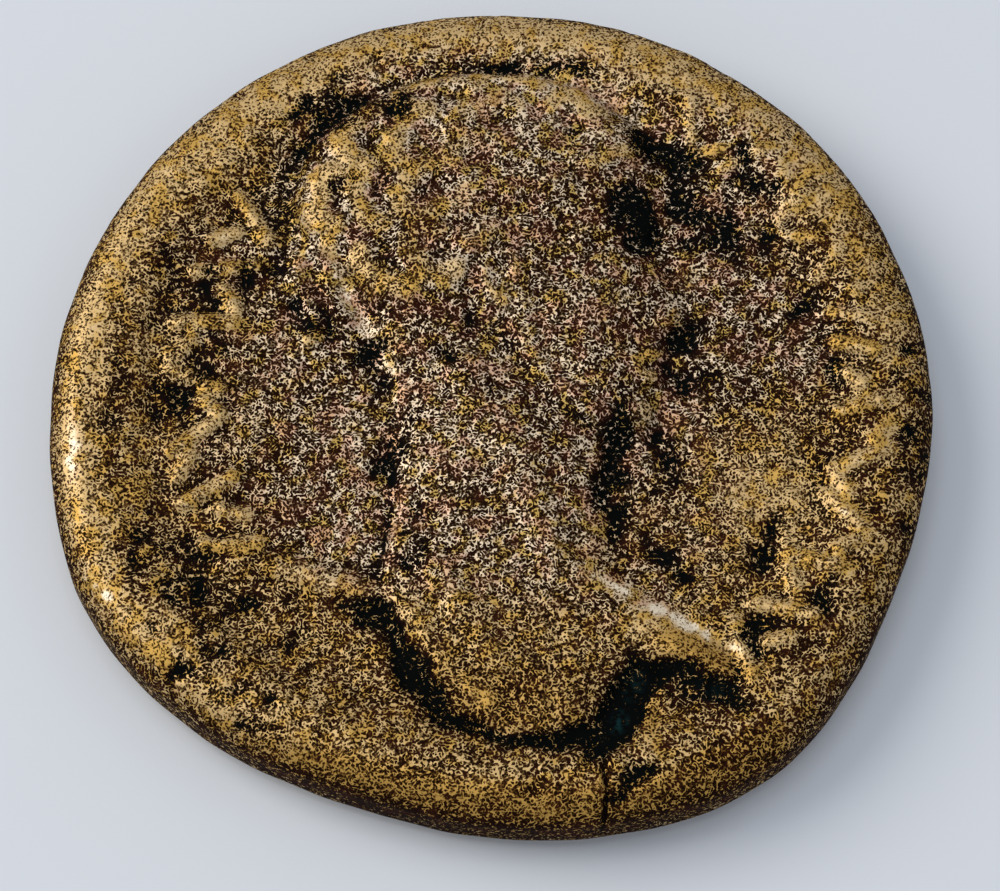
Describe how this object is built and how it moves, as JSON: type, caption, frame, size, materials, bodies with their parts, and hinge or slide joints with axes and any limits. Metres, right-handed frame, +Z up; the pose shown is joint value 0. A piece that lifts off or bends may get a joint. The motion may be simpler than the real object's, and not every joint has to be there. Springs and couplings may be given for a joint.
{
  "type": "ancient coin",
  "caption": "Worn, struck bronze coin with a laureate bust in low relief on one side and a wreath on the other, on a thick, slightly irregular round flan with rounded edges.",
  "frame": {"origin": "On the plane the coin rests on, under the middle of its bounding box.", "axes": "+Z is up, out of the portrait side. +X is the viewer's right and +Y is the top of the portrait, seen from above."},
  "size_m": [0.026, 0.0256, 0.0033],
  "materials": {
    "bronze": "worn patinated bronze, pitted, with polished high points"
  },
  "bodies": {
    "root": {"coin": "bronze"}
  },
  "joints": []
}
